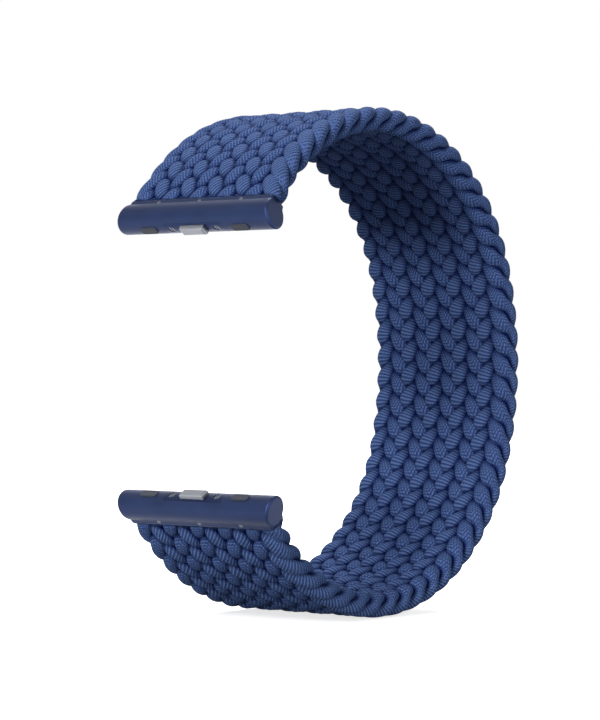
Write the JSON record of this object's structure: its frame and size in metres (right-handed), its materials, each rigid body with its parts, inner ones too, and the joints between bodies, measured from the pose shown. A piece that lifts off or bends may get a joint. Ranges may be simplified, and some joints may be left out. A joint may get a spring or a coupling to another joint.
{
  "type": "braided elastic watch strap",
  "caption": "One-piece elastic braided watch strap: a closed oval of flat braid with a slide-in metal lug and sprung latch at each end.",
  "frame": {"origin": "centre of the wrist opening, on the middle of the braid's width", "axes": "+X along the wrist, across the width of the braid; +Z towards the crown of the loop and the upper lug; -Y towards the watch, +Y towards the rear of the loop"},
  "size_m": [0.0278, 0.059, 0.0712],
  "materials": {
    "braid": "ribbed textile yarn, matt",
    "heat_set_braid": "fused yarn, slightly glossy",
    "lug_metal": "bead blasted, navy anodised",
    "cover_metal": "brushed, navy anodised",
    "latch_steel": "tumbled stainless steel",
    "spring_steel": "rolled spring steel",
    "pin_steel": "ground steel",
    "screw_steel": "turned steel",
    "grip_elastomer": "moulded fluoroelastomer"
  },
  "bodies": {
    "rear_loop": {"rear_braid": "braid", "crown_braid": "braid", "belly_braid": "braid"},
    "upper_end": {"upper_end_braid": "braid", "upper_flex_braid": "braid"},
    "upper_lug": {"upper_lug_body": "lug_metal", "upper_braid_tab": "heat_set_braid", "upper_retaining_pins": "pin_steel", "upper_latch_spring": "spring_steel", "upper_latch_cover": "cover_metal", "upper_cover_screws": "screw_steel", "upper_grip_pads": "grip_elastomer"},
    "upper_latch": {"upper_latch_plunger": "latch_steel"},
    "lower_end": {"lower_end_braid": "braid", "lower_flex_braid": "braid"},
    "lower_lug": {"lower_lug_body": "lug_metal", "lower_braid_tab": "heat_set_braid", "lower_retaining_pins": "pin_steel", "lower_latch_spring": "spring_steel", "lower_latch_cover": "cover_metal", "lower_cover_screws": "screw_steel", "lower_grip_pads": "grip_elastomer"},
    "lower_latch": {"lower_latch_plunger": "latch_steel"}
  },
  "joints": [
    {"name": "upper_stretch", "type": "slide", "parent": "rear_loop", "child": "upper_end", "axis": [0, -1, 0], "range_m": [0, 0.015], "stiffness_N_per_m": 250, "deforming": ["crown_braid"]},
    {"name": "upper_lug_flex", "type": "hinge", "parent": "upper_end", "child": "upper_lug", "pos_m": [0, -0.02133, 0.02469], "axis": [1, 0, 0], "range_deg": [-35, 35], "stiffness_Nm_per_rad": 0.05, "deforming": ["upper_flex_braid"]},
    {"name": "upper_latch_press", "type": "slide", "parent": "upper_lug", "child": "upper_latch", "axis": [0, 0.5804, 0.8143], "range_m": [0, 0.0007], "stiffness_N_per_m": 600, "deforming": ["upper_latch_spring"]},
    {"name": "lower_stretch", "type": "slide", "parent": "rear_loop", "child": "lower_end", "axis": [0, -1, 0], "range_m": [0, 0.015], "stiffness_N_per_m": 250, "deforming": ["belly_braid"]},
    {"name": "lower_lug_flex", "type": "hinge", "parent": "lower_end", "child": "lower_lug", "pos_m": [0, -0.02133, -0.02469], "axis": [-1, 0, 0], "range_deg": [-35, 35], "stiffness_Nm_per_rad": 0.05, "deforming": ["lower_flex_braid"]},
    {"name": "lower_latch_press", "type": "slide", "parent": "lower_lug", "child": "lower_latch", "axis": [0, 0.5804, -0.8143], "range_m": [0, 0.0007], "stiffness_N_per_m": 600, "deforming": ["lower_latch_spring"]}
  ],
  "couplings": [
    {"joint": "lower_stretch", "follows": "upper_stretch", "ratio": 1}
  ]
}
